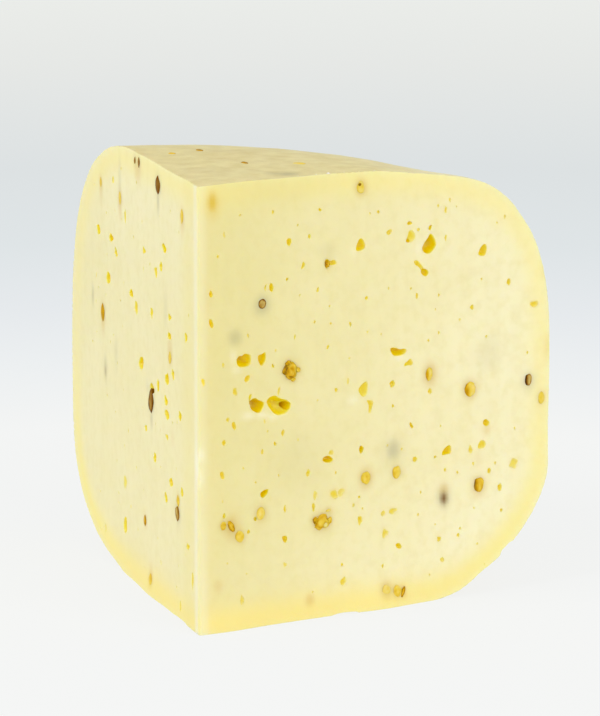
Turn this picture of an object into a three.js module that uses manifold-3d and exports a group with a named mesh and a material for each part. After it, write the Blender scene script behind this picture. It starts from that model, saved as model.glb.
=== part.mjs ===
// A wedge of semi-hard cheese with spice seeds in it, cut from a small round wheel.
// Millimetres, +Z up. It rests on the wheel's flat base, and its point edge faces -Y.
// The origin is at the base, under the middle of the wedge.
import * as THREE from 'three';
import { mergeVertices } from 'three/addons/utils/BufferGeometryUtils.js';
import Module from 'manifold-3d';

const wasm = await Module();
wasm.setup();

// The whole wheel.
const wheelRadius = 102;
const wheelHeight = 100;
const wheelMeridians = 66;
const shoulderSteps = 11;
const footSteps = 8;

// It isn't quite round: between the cuts its side bulges by about this much.
const outOfRound = 2.2;

// The wheel's outline at each cut: how far its rounded shoulder and foot reach in and
// along the height, and how square they are. A power of 2 is a quarter of an ellipse.
const outlineAtRight = {
  shoulderWide: 81, shoulderDrop: 55, shoulderPower: 3.94,
  footWide: 31.5, footRise: 28.5, footPower: 1.63,
};
const outlineAtLeft = {
  shoulderWide: 67, shoulderDrop: 62, shoulderPower: 2.91,
  footWide: 63.4, footRise: 32.4, footPower: 2.78,
};

// The foot keeps the right cut's shape until close to the left cut, so that the wedge rests flat.
// It has turned when share, which says how far round a place is, reaches footTurned.
const footTurn = 4;
const footTurned = 0.9;

// The wedge. Its point edge stands a little off the wheel's axis.
const wedgeAngle = THREE.MathUtils.degToRad(76.4);
const pointEdge = new THREE.Vector2(9.2, 5.9);
const pointFacet = 0.5;      // width of the blunt strip along the point edge
const cutReach = 130;        // how far the cutting shape runs, past the rim
const cutMargin = 10;        // how far it passes the base and the top

// Openings in the paste at the cut faces: [along the cut, height, wide, high, lean in degrees].
// Each is cut by a lump that reaches openingDepth times its width and height together, half of
// it inside, and whose corners are uneven by a share of its radius. Large ones have more corners.
const openingDepth = 0.8;
const openingUneven = 0.16;
const openingSunk = 0.05;
const largeOpening = 5;      // its width times its height
const openingsAtRight = [
  [59.5, 81.5, 3.4, 4.5, -15], [41.5, 83, 2.6, 2.9, -10], [73.5, 79, 2.0, 2.7, -20],
  [57.2, 76.7, 1.8, 3.8, 40], [54.5, 84, 2.2, 2.7, 0], [48.8, 85.4, 1.4, 1.4, 0],
  [23, 85.5, 1.3, 1.9, 0], [18.5, 76, 1.5, 2.1, 0], [26.5, 80, 1.1, 2.1, -20],
  [11.5, 60.4, 3.3, 2.6, 0], [16.2, 60.4, 1.9, 2.7, 0], [12.5, 56.4, 1.3, 1.8, 0],
  [15, 50.1, 3.4, 3.3, 10], [20.3, 49.6, 4.8, 3.2, 20], [42.3, 50.5, 2.5, 3.1, -15],
  [44, 47.1, 1.4, 3.0, 0], [51.5, 58.3, 3.8, 1.9, 0], [54.3, 55.5, 2.2, 2.0, -30],
  [49.8, 51, 1.6, 1.6, 0], [33.2, 35.8, 2.2, 1.8, 0], [41.8, 37.2, 1.4, 2.0, 0],
  [64.2, 34.3, 2.5, 2.1, -40], [73.5, 34.5, 2.2, 2.1, -40], [74.7, 39.4, 2.0, 1.8, 0],
  [55, 41, 1.2, 1.7, 30], [16.7, 30.1, 2.0, 1.8, -30], [34.8, 27.8, 2.2, 2.2, 0],
  [50.1, 22, 2.1, 1.6, 0], [48.1, 17.2, 1.7, 2.1, 0], [51.6, 13.9, 1.6, 1.5, 0],
  [22, 19, 1.6, 1.6, 0], [37, 7.6, 1.6, 1.8, 0], [11, 6.7, 1.2, 2.3, 20],
  [3.4, 69.6, 1.5, 2.1, 15], [87.3, 65.3, 2.0, 1.5, -20], [41.5, 21, 1.2, 2.1, 0],
  [23.4, 57, 3.6, 3.4, 0], [33.6, 79.9, 3.0, 2.0, 0], [82.1, 29.1, 2.1, 2.3, 0],
];
const openingsAtLeft = [
  [80.5, 76.5, 2.4, 2.3, 25], [69.5, 76.4, 2.9, 2.0, 0], [65.5, 73.7, 1.7, 2.1, 0],
  [42.2, 78.5, 1.7, 1.6, 0], [26.1, 81.9, 2.7, 2.1, 0], [32.8, 75.1, 1.7, 2.5, 0],
  [28.6, 77.2, 1.7, 2.0, 0], [72.4, 66.8, 2.7, 2.9, 40], [53.1, 66.7, 2.4, 1.9, 0],
  [49.1, 64, 2.4, 2.8, 0], [22.4, 62.7, 2.2, 1.8, 0], [9.3, 65, 1.4, 2.2, 0],
  [45.2, 52.1, 3.0, 3.0, 15], [24.2, 52.7, 1.8, 3.4, 0], [19.4, 54.6, 1.5, 2.3, 0],
  [31.4, 49.9, 1.5, 3.1, 0], [25.4, 47.7, 2.0, 2.1, 20], [14, 46.3, 1.7, 2.0, 0],
  [24.3, 44.5, 2.8, 2.3, 0], [34.2, 32.6, 2.0, 2.3, 0], [21.4, 29.9, 2.2, 2.1, 15],
  [12.7, 29.4, 1.6, 2.3, 0], [25.5, 25.4, 1.7, 2.3, 0], [59.1, 21.8, 1.7, 2.1, 0],
];

// Seeds lie half in a cut face and stand proud of it: [along the cut, height, wide, high].
const seedProud = 0.55;
const seedUneven = 0.03;
const seedsAtRight = [
  [16.2, 72.6, 2.1, 2.3], [85.9, 48, 1.9, 2.7], [63.5, 23.4, 2.0, 2.6], [70.3, 47.5, 3.1, 3.6],
  [72.7, 25.5, 2.8, 3.5], [50.9, 30.8, 2.1, 2.8], [43, 30.4, 2.3, 2.9], [59.5, 52.3, 1.8, 3.0],
  [31.5, 21.8, 3.5, 3.2], [8.5, 23.1, 1.8, 3.1], [10.4, 21.1, 2.2, 2.7], [15.8, 25.6, 2.5, 2.9],
  [89.5, 43.5, 1.6, 2.8], [41.5, 96.1, 2.0, 2.7], [48.3, 4.4, 2.2, 2.7], [51.6, 3.6, 2.2, 2.8],
  [6.2, 24, 1.4, 1.9],
];
const seedsAtLeft = [
  [30.6, 95.4, 3.9, 3.6], [36.8, 45.3, 3.8, 4.6], [76.9, 58, 3.0, 3.6], [46.5, 97.9, 2.4, 2.3],
  [16.3, 24.7, 2.7, 3.2], [21.7, 58, 2.1, 3.1], [75, 44.2, 1.7, 2.0], [61.8, 87, 2.4, 3.6],
  [12.1, 91.5, 2.0, 3.4], [78, 87.5, 1.6, 2.6], [42.6, 16.3, 1.7, 2.3], [37.6, 4.6, 2.2, 2.8],
  [59, 12.4, 2.1, 3.0],
];

// Seeds just under the skin of the top, from the point edge: [along the middle, to the right, long].
const topSeeds = [[44.8, -17.3, 2.4], [32.2, -1.6, 2.4], [38.3, -21.3, 2.0], [36.8, 9.8, 2.8]];
const topSeedProud = 0.3;
const topSeedSlim = 0.7;     // its width and height, as a share of its length
const topSeedUneven = 0.05;

// A dent low on the rim beside the right cut, and a chip out of the point edge: place and size.
const rimDent = { along: 83.5, height: 7.6, wide: 9, high: 7, deep: 6, sunk: 0.5, uneven: 0.05 };
const edgeChip = { height: 35, wide: 2.4, high: 9, deep: 0.9, uneven: 0.1 };
const mergeReach = 1e-4;     // corners of a mesh closer than this are one

const paste = new THREE.MeshStandardMaterial({ color: '#f1e8b4', roughness: 0.5, metalness: 0 });

// A repeatable random number from 0 to 1.
let randomState = 7;
function random() {
  randomState = (randomState * 1664525 + 1013904223) % 4294967296;
  return randomState / 4294967296;
}

// A closed geometry as a solid. Triangles that collapsed at a pole are left out.
function solidOf(geometry) {
  geometry.deleteAttribute('normal');
  geometry.deleteAttribute('uv');
  const merged = mergeVertices(geometry, mergeReach);
  const corners = merged.index.array;
  const triangles = [];
  for (let i = 0; i < corners.length; i += 3) {
    const [a, b, c] = corners.slice(i, i + 3);
    if (a !== b && b !== c && c !== a) triangles.push(a, b, c);
  }
  const vertProperties = new Float32Array(merged.attributes.position.array);
  const triVerts = new Uint32Array(triangles);
  return new wasm.Manifold(new wasm.Mesh({ numProp: 3, vertProperties, triVerts }));
}

function geometryOf(solid) {
  const mesh = solid.getMesh();
  const geometry = new THREE.BufferGeometry();
  geometry.setAttribute('position', new THREE.BufferAttribute(mesh.vertProperties, 3));
  geometry.setIndex(new THREE.BufferAttribute(mesh.triVerts, 1));
  geometry.computeVertexNormals();
  return geometry;
}

// How far round a place is from the right cut, 0, to the left cut, 1.
function shareOfWay(x, y) {
  const fromMiddle = Math.atan2(y, x) - Math.PI / 2;
  return THREE.MathUtils.clamp(0.5 + fromMiddle / wedgeAngle, 0, 1);
}

// A point on a rounded corner one unit wide and high: how far it is from the side, and from the
// flat. way runs from 0 on the flat to 1 on the side.
function quarterOfWay(way, power) {
  const turn = (Math.PI / 2) * way;
  return [1 - Math.sin(turn) ** (2 / power), 1 - Math.cos(turn) ** (2 / power)];
}

// The wheel's outline from the middle of the base, round the foot and shoulder, to the middle of
// the top. share is 0 at the right cut and 1 at the left, and the outline turns from one to the other.
function wheelOutline(share) {
  const { lerp } = THREE.MathUtils;
  const footShare = Math.min(1, share / footTurned) ** footTurn;
  const foot = (name) => lerp(outlineAtRight[name], outlineAtLeft[name], footShare);
  const shoulder = (name) => lerp(outlineAtRight[name], outlineAtLeft[name], share);
  const points = [new THREE.Vector2(0, 0)];
  for (let i = 0; i <= footSteps; i += 1) {
    const [across, up] = quarterOfWay(i / footSteps, foot('footPower'));
    points.push(new THREE.Vector2(wheelRadius - foot('footWide') * across, foot('footRise') * up));
  }
  for (let i = shoulderSteps; i >= 0; i -= 1) {
    const [across, down] = quarterOfWay(i / shoulderSteps, shoulder('shoulderPower'));
    const radius = wheelRadius - shoulder('shoulderWide') * across;
    points.push(new THREE.Vector2(radius, wheelHeight - shoulder('shoulderDrop') * down));
  }
  points.push(new THREE.Vector2(0, wheelHeight));
  const round = Math.sin(Math.PI * share) - Math.sin(2 * Math.PI * share);
  const bulge = 1 + (outOfRound / wheelRadius) * round;
  return points.map((point) => new THREE.Vector2(point.x * bulge, point.y));
}

// The height of the wheel's skin above a place on its top or shoulder, from its axis.
function skinHeight(x, y) {
  const points = wheelOutline(shareOfWay(x, y)).reverse();
  const outer = points.findIndex((point) => point.x > Math.hypot(x, y));
  const [from, to] = [points[outer - 1], points[outer]];
  return THREE.MathUtils.mapLinear(Math.hypot(x, y), from.x, to.x, from.y, to.y);
}

// The wheel about its own axis. A lathe gives the grid, and each meridian then gets its own outline.
function wheel() {
  const geometry = new THREE.LatheGeometry(wheelOutline(0), wheelMeridians);
  geometry.rotateX(Math.PI / 2);
  const position = geometry.attributes.position;
  const rows = wheelOutline(0).length;
  for (let i = 0; i < position.count; i += 1) {
    const direction = Math.atan2(position.getY(i), position.getX(i));
    const point = wheelOutline(shareOfWay(position.getX(i), position.getY(i)))[i % rows];
    position.setXYZ(i, point.x * Math.cos(direction), point.x * Math.sin(direction), point.y);
  }
  return solidOf(geometry);
}

// How far the facet of the point edge is from where the two cuts would meet.
const facetBack = pointFacet / 2 / Math.tan(wedgeAngle / 2);

// The shape that the two cuts leave: a tall prism from the narrow facet of the point edge outwards.
function cuttingShape() {
  const half = wedgeAngle / 2;
  const outline = new THREE.Shape([
    new THREE.Vector2(-pointFacet / 2, facetBack),
    new THREE.Vector2(pointFacet / 2, facetBack),
    new THREE.Vector2(cutReach * Math.sin(half), cutReach * Math.cos(half)),
    new THREE.Vector2(-cutReach * Math.sin(half), cutReach * Math.cos(half)),
  ]);
  const depth = wheelHeight + 2 * cutMargin;
  const geometry = new THREE.ExtrudeGeometry(outline, { depth, bevelEnabled: false });
  geometry.translate(pointEdge.x, pointEdge.y, -cutMargin);
  return solidOf(geometry);
}

// Where a cut face is: side is 1 for the right one and -1 for the left one, seen from the point edge.
function cutFace(side) {
  const half = wedgeAngle / 2;
  return {
    side,
    outwards: new THREE.Vector3(side * Math.cos(half), -Math.sin(half), 0),
    along: new THREE.Vector3(side * Math.sin(half), Math.cos(half), 0),
  };
}

// Moves a shape made about the origin, its width along X, height along Y and depth along Z, to a
// place on a cut face. sunk is how far its middle lies under the face.
function placeOnFace(geometry, face, along, height, lean, sunk) {
  const turn = new THREE.Matrix4().makeBasis(
    face.along.clone().multiplyScalar(face.side), new THREE.Vector3(0, 0, 1), face.outwards);
  geometry.rotateZ(THREE.MathUtils.degToRad(lean * face.side));
  geometry.applyMatrix4(turn);
  const place = face.along.clone().multiplyScalar(along).addScaledVector(face.outwards, -sunk);
  geometry.translate(place.x + pointEdge.x, place.y + pointEdge.y, height);
  return geometry;
}

// A rounded lump of a given size, with its corners pushed in and out by up to uneven of its radius.
function lump(wide, high, deep, detail, uneven) {
  const rough = new THREE.IcosahedronGeometry(0.5, detail);
  rough.deleteAttribute('normal');
  rough.deleteAttribute('uv');
  const geometry = mergeVertices(rough, mergeReach);
  const position = geometry.attributes.position;
  for (let i = 0; i < position.count; i += 1) {
    const out = 1 + uneven * (2 * random() - 1);
    position.setXYZ(i, position.getX(i) * out, position.getY(i) * out, position.getZ(i) * out);
  }
  geometry.scale(wide, high, deep);
  return geometry;
}

function openings(side, list) {
  const face = cutFace(side);
  return list.map(([along, height, wide, high, lean]) => {
    const detail = wide * high > largeOpening ? 1 : 0;
    const cutter = lump(wide, high, openingDepth * (wide + high), detail, openingUneven);
    return solidOf(placeOnFace(cutter, face, along, height, lean, openingSunk));
  });
}

function seeds(side, list) {
  const face = cutFace(side);
  return list.map(([along, height, wide, high]) => {
    const seed = lump(wide, high, 2 * seedProud, 1, seedUneven);
    return solidOf(placeOnFace(seed, face, along, height, 0, 0));
  });
}

// Low bumps of seeds that the skin of the top covers.
function seedsUnderTop() {
  return topSeeds.map(([back, right, long]) => {
    const thick = long * topSeedSlim;
    const bump = lump(long, thick, thick, 0, topSeedUneven);
    const [x, y] = [pointEdge.x + right, pointEdge.y + back];
    bump.translate(x, y, skinHeight(x, y) - thick / 2 + topSeedProud);
    return solidOf(bump);
  });
}

function dents() {
  const dent = lump(rimDent.wide, rimDent.high, rimDent.deep, 1, rimDent.uneven);
  placeOnFace(dent, cutFace(1), rimDent.along, rimDent.height, 0, rimDent.sunk);
  const chip = lump(edgeChip.wide, edgeChip.deep, edgeChip.high, 1, edgeChip.uneven);
  chip.translate(pointEdge.x, pointEdge.y + facetBack, edgeChip.height);
  return [solidOf(dent), solidOf(chip)];
}

// The plain wedge is set on its origin first, so that seeds and openings don't move it.
const plainWedge = wheel().intersect(cuttingShape());
const box = geometryOf(plainWedge);
box.computeBoundingBox();
const middle = box.boundingBox.getCenter(new THREE.Vector3());

let cheese = plainWedge;
for (const hole of [...openings(1, openingsAtRight), ...openings(-1, openingsAtLeft), ...dents()]) {
  cheese = cheese.subtract(hole);
}
for (const seed of [...seeds(1, seedsAtRight), ...seeds(-1, seedsAtLeft), ...seedsUnderTop()]) {
  cheese = cheese.add(seed);
}

const mesh = new THREE.Mesh(geometryOf(cheese), paste);
mesh.name = 'cheese';
mesh.position.set(-middle.x, -middle.y, 0);

const wedge = new THREE.Group();
wedge.add(mesh);
export default wedge;
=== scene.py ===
import math
import random

import bmesh
import bpy
import numpy as np
from mathutils import Matrix, Vector, noise


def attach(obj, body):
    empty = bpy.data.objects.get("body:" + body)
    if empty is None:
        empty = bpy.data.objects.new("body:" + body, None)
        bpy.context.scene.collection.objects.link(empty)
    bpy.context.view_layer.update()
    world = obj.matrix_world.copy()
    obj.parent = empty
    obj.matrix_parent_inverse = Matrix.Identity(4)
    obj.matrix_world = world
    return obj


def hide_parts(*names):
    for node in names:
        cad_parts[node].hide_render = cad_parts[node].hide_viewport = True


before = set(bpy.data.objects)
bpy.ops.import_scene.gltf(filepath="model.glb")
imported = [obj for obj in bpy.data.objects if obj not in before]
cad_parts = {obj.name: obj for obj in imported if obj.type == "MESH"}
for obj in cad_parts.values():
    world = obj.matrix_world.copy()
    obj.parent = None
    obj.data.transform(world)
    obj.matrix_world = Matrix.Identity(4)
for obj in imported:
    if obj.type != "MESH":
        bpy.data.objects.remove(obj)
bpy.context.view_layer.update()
noise.seed_set(1)  # without it noise_vector changes from run to run
print("frame loaded")

# Shapes are made in millimetres and brought to metres when a piece is finished.
millimetre = 0.001

# The wheel that the wedge was cut from. Its shoulder and foot are given at each cut as how far
# they reach in, how far along the height, and how square they are.
wheel = {
    "radius": 102,
    "height": 100,
    "axis": (-5.33, -55.42),
    "outOfRound": 2.2,
    "shoulderAtRight": (81, 55, 3.94),
    "footAtRight": (31.5, 28.5, 1.63),
    "shoulderAtLeft": (67, 62, 2.91),
    "footAtLeft": (63.4, 32.4, 2.78),
    "footTurn": 4,
    "footTurned": 0.9,
    "meridians": 400,
    "outlinePoints": 180,
    "cornerPoints": 500,
    "swell": 0.35,
    "swellSize": 24,
    "ripple": 0.16,
    "rippleSize": 8,
    "grain": 0.03,
    "grainSize": 1.8,
}

# The two cuts. The point edge stands a little off the wheel's axis and keeps a narrow facet. The
# cuts are waved, and where the knife stepped, the step heals along the cut and fades up and down.
cut = {
    "angle": 76.4,
    "pointEdge": (9.2, 5.9),
    "facet": 0.5,
    "reach": 126,
    "margin": 8,
    "grid": 0.75,
    "wave": 0.1,
    "waveSize": 20,
    "stepWide": 0.7,
    "stepHeals": 5,
    "stepFades": 6,
}

right, left = 1, -1

# Where the knife stepped as it came down: cut, along, from height, to height, step.
knifeSteps = [
    (right, 7.2, -9, 110, -0.05), (right, 9.4, -9, 110, 0.05), (right, 12.8, 6, 46, 0.08),
    (right, 30.5, 55, 90, -0.03), (right, 54, 36, 74, -0.03), (right, 66, 30, 82, 0.03),
    (left, 12, 20, 75, 0.04), (left, 44, 40, 95, -0.04),
]

# Where the soft foot of the cut bulged as it was set down: cut, along, height, reaches, out.
bulges = [(right, 47, 0, 9, 5, 1.1), (right, 8, 0, 6, 4, 0.5), (left, 39, 0, 9, 4, 0.5)]

# Where the rim is fuller or flatter: cut, along, height, how far behind the cut, reach, out.
nudges = [
    (right, 56, 99, 0, 9, -0.5), (right, 74, 95, 0, 6, 0.45), (right, 87, 87, 0, 5, -0.6),
    (right, 90, 79, 0, 8, -0.45), (right, 68.5, 2, 0, 4, 0.3), (right, 73.5, 6, 0, 3.5, -0.45),
    (right, 62, 97, 13, 8, -0.5), (left, 55, 3, 0, 6, 0.5), (left, 80, 91, 0, 9, -0.35),
]

# Dents and chips: cut, along, height, wide, high, deep and how far its middle lies in.
dents = [
    (right, 83.5, 7.6, 9, 7, 6, 0.5), (right, 38, -1.4, 10, 4.2, 5, 0.4),
    (left, 14.5, -1.6, 16, 4.2, 6, 0.3),
]
edgeChip = {"height": 35, "wide": 2.4, "high": 9, "deep": 0.9}

pointX = wheel["axis"][0] + cut["pointEdge"][0]
pointY = wheel["axis"][1] + cut["pointEdge"][1]
halfAngle = math.radians(cut["angle"]) / 2

# Slots of the body's materials, the same on every shape that cuts it.
pasteSlot, skinSlot, eyeSlot = 0, 1, 2


def hexColour(code):
    # sRGB hex to the linear colour that Blender's sockets hold
    parts = [int(code[i : i + 2], 16) / 255 for i in (1, 3, 5)]
    return [p / 12.92 if p <= 0.04045 else ((p + 0.055) / 1.055) ** 2.4 for p in parts] + [1.0]


def perSize(size):
    # the scale of a noise whose grains are about this many millimetres
    return 1 / (size * millimetre)


def addNode(tree, kind, settings=None, links=None):
    # settings are node properties, or input sockets by name or number; links go to input sockets
    node = tree.nodes.new(kind)
    for key, value in (settings or {}).items():
        if isinstance(key, str) and hasattr(node, key):
            setattr(node, key, value)
        else:
            node.inputs[key].default_value = value
    for key, socket in (links or {}).items():
        tree.links.new(socket, node.inputs[key])
    return node


def alongCut(side):
    # level, along a cut and away from the point edge
    return Vector((side * math.sin(halfAngle), math.cos(halfAngle), 0))


def outOfCut(side):
    return Vector((side * math.cos(halfAngle), -math.sin(halfAngle), 0))


def cutWave(side, along, height):
    # how far a cut face stands out of true: slow waves, knife steps and bulges
    place = (along / cut["waveSize"], height / cut["waveSize"] / 2, 5.0 * side)
    out = noise.noise(place) * cut["wave"]
    for stepSide, at, low, high, rise in knifeSteps:
        if stepSide == side:
            inWay = min(1.0, max(0.0, (along - at) / cut["stepWide"] + 0.5))
            fade = min(1.0, max(0.0, min(height - low, high - height) / cut["stepFades"]))
            heal = math.exp(-max(0.0, along - at) / cut["stepHeals"])
            out += rise * inWay * heal * fade
    for bulgeSide, at, up, reachAlong, reachUp, rise in bulges:
        if bulgeSide == side:
            away = ((along - at) / reachAlong) ** 2 + ((height - up) / reachUp) ** 2
            out += rise * math.exp(-away)
    return out


def placeOnCut(side, along, height, out=0.0):
    # from a shape made about the origin, X to the right, Y up and Z outwards, to a place on a cut
    out += cutWave(side, along, height)
    where = Vector((pointX, pointY, height)) + alongCut(side) * along + outOfCut(side) * out
    turn = Matrix((alongCut(side) * side, Vector((0, 0, 1)), outOfCut(side))).transposed()
    return Matrix.Translation(where) @ turn.to_4x4()


def onCuts(coordinates):
    # for many points at once: along, height and out of each cut, as {side: (along, height, out)}
    level = coordinates[:, :2] - (pointX, pointY)
    height = coordinates[:, 2]
    return {
        side: (level @ np.array(alongCut(side))[:2], height, level @ np.array(outOfCut(side))[:2])
        for side in (right, left)
    }


def coordinatesOf(mesh):
    flat = np.empty(len(mesh.vertices) * 3)
    mesh.vertices.foreach_get("co", flat)
    return flat.reshape(-1, 3)


def storeOnPoints(mesh, name, values):
    layer = mesh.attributes.new(name, "FLOAT", "POINT")
    layer.data.foreach_set("value", np.asarray(values, dtype=np.float32))


def helperObject(bm, name):
    # an object that only takes part in a cut, with the body's slots
    mesh = bpy.data.meshes.new(name)
    bm.to_mesh(mesh)
    bm.free()
    for slot in (pasteSlot, skinSlot, eyeSlot):
        mesh.materials.append(slotMaterials[slot])
    helper = bpy.data.objects.new(name, mesh)
    bpy.context.scene.collection.objects.link(helper)
    return helper


def cutWith(base, cutter, operation):
    change = base.modifiers.new("cut", "BOOLEAN")
    change.object = cutter
    change.operation = operation
    change.solver = "MANIFOLD"
    bpy.context.view_layer.update()
    evaluated = base.evaluated_get(bpy.context.evaluated_depsgraph_get())
    result = bpy.data.meshes.new_from_object(evaluated)
    base.modifiers.clear()
    base.data = result
    bpy.data.objects.remove(cutter)


def finishPiece(bm, name, materials):
    bmesh.ops.scale(bm, verts=bm.verts, vec=(millimetre,) * 3)
    mesh = bpy.data.meshes.new(name)
    bm.to_mesh(mesh)
    bm.free()
    for material in materials:
        mesh.materials.append(material)
    piece = bpy.data.objects.new(name, mesh)
    bpy.context.scene.collection.objects.link(piece)
    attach(piece, "root")
    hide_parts("cheese")
    return piece


# The butter-yellow zone behind the rind: how deep it peaks, how wide it is, and how strong at the
# base, half way up and at the top of each cut.
rindZone = {
    "deep": 2.2, "inwards": 3.6, "outwards": 2.6, right: (0.8, 0.42, 0.5), left: (1.0, 0.3, 0.55),
}

# Zones of colour that follow the edges of a cut, among them a painted glow at the foot and painted
# shade on the facet.
cutZones = ("behindRind", "paintedFootGlow", "besideEdge", "edgeStrip", "facetShade")

# Stains round seeds, seeds that show dimly through the paste, and painted highlights beside the large
# eyes:
# side, along, height, reach across, reach up, and strength.
stainsAndHighlights = {
    "greyStain": [
        (right, 16.2, 72.3, 2.1, 2.3, 0.3), (right, 63.5, 23.6, 2.0, 2.7, 0.3),
        (right, 86.1, 47.8, 2.0, 2.4, 0.22), (right, 9.4, 65.8, 1.7, 1.8, 0.3),
        (right, 50.1, 36, 1.9, 2.5, 0.4), (right, 50.1, 35.6, 3.6, 3.8, 0.12),
        (right, 75.1, 55.1, 4, 4, 0.11), (right, 26, 36, 7, 7, 0.06),
        (right, 33, 82.5, 2.4, 2, 0.08), (right, 20, 98, 14, 4, 0.07),
        (left, 30.7, 91.6, 1.0, 2.8, 0.35), (left, 36.8, 41, 1.2, 2.2, 0.3),
        (left, 75, 45, 1.4, 2.8, 0.3), (left, 61.8, 91.5, 1.2, 5, 0.16),
        (left, 85.5, 60.1, 0.9, 2.4, 0.35), (left, 66, 50, 1.6, 4, 0.12),
        (left, 25, 68, 1.6, 4, 0.12), (left, 40, 47.5, 1.4, 2, 0.12),
    ],
    "tanStain": [
        (right, 70.4, 47.4, 2.0, 2.3, 0.3), (right, 72.7, 24.6, 2.0, 2.4, 0.3),
        (right, 59.8, 52, 1.9, 3.0, 0.45), (right, 43, 30.4, 1.9, 2.3, 0.4),
        (right, 8.5, 23.4, 2.2, 3, 0.45), (right, 31.6, 21.8, 2.4, 2.4, 0.3),
        (right, 74.9, 37.9, 1.2, 1.4, 0.28), (right, 4.9, 10.5, 1.2, 1.5, 0.3),
        (right, 28.5, 4.4, 1.2, 1.5, 0.45), (right, 23.6, 57, 2.6, 2.6, 0.2),
        (right, 48.3, 4.4, 1.8, 2.2, 0.3), (right, 41.5, 96.1, 1.6, 2.0, 0.35),
        (right, 15.8, 25.6, 1.7, 2.0, 0.25), (right, 72.2, 31.2, 2.4, 2.4, 0.12),
        (right, 2.6, 75, 1.4, 3, 0.12), (right, 63.5, 25.2, 1.2, 1.5, 0.45),
        (left, 47, 95.6, 2.6, 2.8, 0.4), (left, 61.8, 85.5, 1.5, 3.4, 0.35),
        (left, 76.9, 56, 1.6, 3.4, 0.4), (left, 21.7, 60, 1.9, 3.0, 0.35),
        (left, 12, 90, 1.6, 2.6, 0.3), (left, 78, 86.5, 1.4, 3, 0.3), (left, 20, 40, 1.4, 2, 0.15),
        (left, 37.6, 5.2, 1.6, 2.4, 0.25),
    ],
    "goldStain": [
        (right, 3.7, 96.2, 1.2, 2.2, 1.0), (right, 3.7, 95.4, 2.0, 3.2, 0.35),
        (right, 82.1, 29.1, 1.0, 1.1, 0.4), (right, 48.1, 17.2, 0.9, 1.1, 0.3),
        (right, 50.1, 22, 1.0, 0.8, 0.3), (right, 34.6, 27.8, 1.1, 1.1, 0.45),
        (right, 36.9, 28, 1, 1.1, 0.25), (right, 87.3, 65.3, 1.0, 0.8, 0.4),
        (right, 37.1, 7.6, 0.8, 0.9, 0.3), (right, 90.6, 74, 1.6, 3.4, 0.25),
        (right, 91, 55, 1.4, 3.4, 0.25),
    ],
    "brownStain": [(right, 63.5, 23.3, 0.9, 1.4, 1.0), (left, 75, 44.2, 0.7, 1.2, 0.35)],
    # painted highlights where the paste is drawn up into lips beside the large eyes
    "lipHighlight": [
        (right, 12.6, 48, 1.6, 0.9, 0.5), (right, 16.2, 47.8, 1.8, 0.8, 0.5),
        (right, 19, 47, 1.6, 0.8, 0.4), (right, 9.6, 58.5, 1.2, 0.8, 0.35),
        (right, 39.5, 48.4, 1.5, 1.0, 0.45), (right, 8.9, 61.5, 0.8, 1.6, 0.35),
        (right, 0.6, 40.5, 1.2, 1.6, 0.5), (right, 0.5, 35.5, 1.0, 2.2, 0.4),
        (left, 1.2, 38, 1.2, 3.4, 0.6), (right, 56.5, 81, 0.8, 1.8, 0.35),
        (right, 39.6, 82, 0.8, 1.4, 0.3), (right, 52, 56.6, 1.8, 0.8, 0.35),
    ],
}


def newMaterial(name):
    material = bpy.data.materials.new(name)
    material.use_nodes = True
    material.node_tree.nodes.clear()
    return material, material.node_tree


def pointValue(tree, name):
    return addNode(tree, "ShaderNodeAttribute", {"attribute_name": name}).outputs["Fac"]


def blend(tree, share, first, second):
    # first and second are colours or sockets
    node = addNode(tree, "ShaderNodeMix", {"data_type": "RGBA"})
    for number, value in ((0, share), (6, first), (7, second)):
        if isinstance(value, bpy.types.NodeSocket):
            tree.links.new(value, node.inputs[number])
        else:
            node.inputs[number].default_value = value
    return node.outputs[2]


def colourRamp(tree, share, stops):
    ramp = addNode(tree, "ShaderNodeValToRGB", {}, {"Fac": share})
    while len(ramp.color_ramp.elements) < len(stops):
        ramp.color_ramp.elements.new(0.5)
    for element, (position, code) in zip(ramp.color_ramp.elements, stops):
        element.position = position
        element.color = hexColour(code)
    return ramp.outputs["Color"]


# Young, supple cheese: milk-white curd tinted butter yellow, a little moist where the knife
# passed. It is see-through for a few millimetres, so edges glow and openings fill with yellow.
paste = {
    "core": "#EADE9C",
    "pale": "#F9EFC4",
    "streak": "#E4D68E",
    "behindRind": "#F8E88C",
    # a painted glow of light from the table below
    "paintedFootGlow": "#F8DE84",
    "edgeStrip": "#F1EAC4",
    "facetShade": "#D8CB8C",
    "besideEdge": "#EDDF88",
    "mouthGlow": "#EEDC7E",
    "greyStain": "#8A8362",
    "tanStain": "#DBB45C",
    "goldStain": "#E2BF3E",
    "brownStain": "#7A500E",
    # painted highlights beside the large eyes
    "lipHighlight": "#FAF4D6",
    # the walls of an eye: yellow that deepens with depth is painted light shining through the paste,
    # and the darker deepest stop is painted shade
    "eyeDepths": [(0.0, "#EFE29E"), (0.03, "#EEDF86"), (0.1, "#F0DD46"), (0.22, "#F2DB0A"),
                  (0.5, "#F4DB00"), (1.0, "#E0BC00")],
    "cloudSize": 22,
    "mottleSize": 2.4,
    "knifeMarkSize": 1.6,
    "streakSize": 3.5,
    "curdSize": 0.6,
}


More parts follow.
